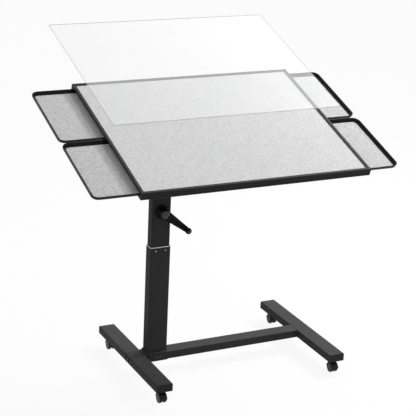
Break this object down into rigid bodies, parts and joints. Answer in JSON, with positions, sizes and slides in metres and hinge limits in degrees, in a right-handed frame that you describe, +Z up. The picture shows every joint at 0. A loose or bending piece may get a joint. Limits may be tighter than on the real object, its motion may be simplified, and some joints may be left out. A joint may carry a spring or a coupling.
{
  "type": "jigsaw puzzle table",
  "caption": "Rolling jigsaw table: tilting felt top with sliding side trays and a clear lift-off cover, on an offset crank-raised column and H-shaped base with casters.",
  "frame": {"origin": "on the floor, under the centre of the whole object's bounding box at rest", "axes": "+X to the right along the top's long side, +Y away from the person at the table, +Z up; the top slopes down towards -Y"},
  "size_m": [1.203, 0.6896, 1.2777],
  "materials": {
    "powder_coat": "matte black powder coat",
    "bare_steel": "plain zinc plated",
    "dark_fasteners": "black oxide",
    "black_plastic": "fine texture",
    "crank_gloss": "glossy",
    "pale_liner": "smooth",
    "nut_brass": "turned",
    "caster_tread": "smooth nylon",
    "black_wood": "black lacquer",
    "board_core": "plain fibreboard",
    "grey_felt": "short heathered felt",
    "tray_gloss": "glossy moulded",
    "clear_sheet": "clear, polished edges"
  },
  "bodies": {
    "base": {"left_foot": "powder_coat", "right_foot": "powder_coat", "crossbar": "powder_coat", "foot_end_caps": "black_plastic", "foot_bolts": "dark_fasteners", "column_saddle": "powder_coat", "saddle_bolts": "dark_fasteners", "outer_column_tube": "powder_coat", "nut_post": "bare_steel", "lifting_nut": "nut_brass", "liner_collar": "pale_liner", "liner_screws": "dark_fasteners", "caster_stems": "dark_fasteners"},
    "column": {"inner_column_tube": "powder_coat", "lower_glide": "black_plastic", "screw_bearing_plate": "bare_steel", "crank_housing": "black_plastic", "crank_bush": "black_plastic", "head_bracket": "powder_coat", "pivot_bolt": "dark_fasteners", "pivot_sleeve": "bare_steel", "clamp_stud": "dark_fasteners"},
    "screw": {"lifting_screw": "bare_steel", "screw_bevel_gear": "bare_steel"},
    "crank": {"crank_shaft": "bare_steel", "crank_bevel_pinion": "bare_steel", "crank_arm": "crank_gloss", "knob_pin": "dark_fasteners"},
    "crank_grip": {"crank_knob": "crank_gloss"},
    "clamp": {"clamp_knob": "black_plastic"},
    "top": {"front_rail": "black_wood", "back_rail": "black_wood", "left_lip": "black_wood", "right_lip": "black_wood", "top_board": "board_core", "top_felt": "grey_felt", "bottom_panel": "black_wood", "tray_divider": "board_core", "tray_runners": "board_core", "cross_beams": "board_core", "tilt_bracket": "powder_coat", "bracket_screws": "dark_fasteners"},
    "cover": {"clear_cover": "clear_sheet"},
    "left_back_drawer": {"left_back_tray": "tray_gloss", "left_back_tray_felt": "grey_felt"},
    "left_front_drawer": {"left_front_tray": "tray_gloss", "left_front_tray_felt": "grey_felt"},
    "right_back_drawer": {"right_back_tray": "tray_gloss", "right_back_tray_felt": "grey_felt"},
    "right_front_drawer": {"right_front_tray": "tray_gloss", "right_front_tray_felt": "grey_felt"},
    "left_front_fork": {"left_front_caster_housing": "black_plastic"},
    "left_front_roller": {"left_front_caster_wheels": "caster_tread"},
    "left_back_fork": {"left_back_caster_housing": "black_plastic"},
    "left_back_roller": {"left_back_caster_wheels": "caster_tread"},
    "right_front_fork": {"right_front_caster_housing": "black_plastic"},
    "right_front_roller": {"right_front_caster_wheels": "caster_tread"},
    "right_back_fork": {"right_back_caster_housing": "black_plastic"},
    "right_back_roller": {"right_back_caster_wheels": "caster_tread"}
  },
  "joints": [
    {"name": "crank_turn", "type": "hinge", "parent": "column", "child": "crank", "pos_m": [-0.2075, -0.01487, 0.645], "axis": [0, 1, 0], "range_deg": [-3826, 5176]},
    {"name": "lift", "type": "slide", "parent": "base", "child": "column", "axis": [0, 0, 1], "range_m": [-0.085, 0.115]},
    {"name": "screw_turn", "type": "hinge", "parent": "column", "child": "screw", "pos_m": [-0.2075, 0.00963, 0.645], "axis": [0, 0, 1], "range_deg": [-5176, 3826]},
    {"name": "crank_grip_turn", "type": "hinge", "parent": "crank", "child": "crank_grip", "pos_m": [-0.11845, -0.06087, 0.57543], "axis": [0, 1, 0], "continuous": true},
    {"name": "tilt", "type": "hinge", "parent": "column", "child": "top", "pos_m": [-0.2075, 0.00463, 0.8985], "axis": [1, 0, 0], "range_deg": [-18, 42]},
    {"name": "clamp_turn", "type": "hinge", "parent": "column", "child": "clamp", "pos_m": [-0.177, 0.00463, 0.8625], "axis": [1, 0, 0], "range_deg": [0, 540]},
    {"name": "cover_lift", "type": "slide", "parent": "top", "child": "cover", "axis": [-0.4041, 0.1576, 0.901], "range_m": [-0.24746, 0]},
    {"name": "left_back_tray_slide", "type": "slide", "parent": "top", "child": "left_back_drawer", "axis": [-1, 0, 0], "range_m": [-0.1615, 0.0985]},
    {"name": "left_front_tray_slide", "type": "slide", "parent": "top", "child": "left_front_drawer", "axis": [-1, 0, 0], "range_m": [-0.1615, 0.0985]},
    {"name": "right_back_tray_slide", "type": "slide", "parent": "top", "child": "right_back_drawer", "axis": [1, 0, 0], "range_m": [-0.1315, 0.1285]},
    {"name": "right_front_tray_slide", "type": "slide", "parent": "top", "child": "right_front_drawer", "axis": [1, 0, 0], "range_m": [-0.1315, 0.1285]},
    {"name": "left_front_swivel", "type": "hinge", "parent": "base", "child": "left_front_fork", "pos_m": [-0.291, -0.23937, 0.052], "axis": [0, 0, 1], "continuous": true},
    {"name": "left_front_roll", "type": "hinge", "parent": "left_front_fork", "child": "left_front_roller", "pos_m": [-0.291, -0.24937, 0.018], "axis": [1, 0, 0], "continuous": true},
    {"name": "left_back_swivel", "type": "hinge", "parent": "base", "child": "left_back_fork", "pos_m": [-0.291, 0.24863, 0.052], "axis": [0, 0, 1], "continuous": true},
    {"name": "left_back_roll", "type": "hinge", "parent": "left_back_fork", "child": "left_back_roller", "pos_m": [-0.291, 0.23863, 0.018], "axis": [1, 0, 0], "continuous": true},
    {"name": "right_front_swivel", "type": "hinge", "parent": "base", "child": "right_front_fork", "pos_m": [0.43, -0.23937, 0.052], "axis": [0, 0, 1], "continuous": true},
    {"name": "right_front_roll", "type": "hinge", "parent": "right_front_fork", "child": "right_front_roller", "pos_m": [0.43, -0.24937, 0.018], "axis": [1, 0, 0], "continuous": true},
    {"name": "right_back_swivel", "type": "hinge", "parent": "base", "child": "right_back_fork", "pos_m": [0.43, 0.24863, 0.052], "axis": [0, 0, 1], "continuous": true},
    {"name": "right_back_roll", "type": "hinge", "parent": "right_back_fork", "child": "right_back_roller", "pos_m": [0.43, 0.23863, 0.018], "axis": [1, 0, 0], "continuous": true}
  ],
  "couplings": [
    {"joint": "crank_turn", "follows": "lift", "rad_per_m": 785.4},
    {"joint": "screw_turn", "follows": "lift", "rad_per_m": -785.4}
  ]
}
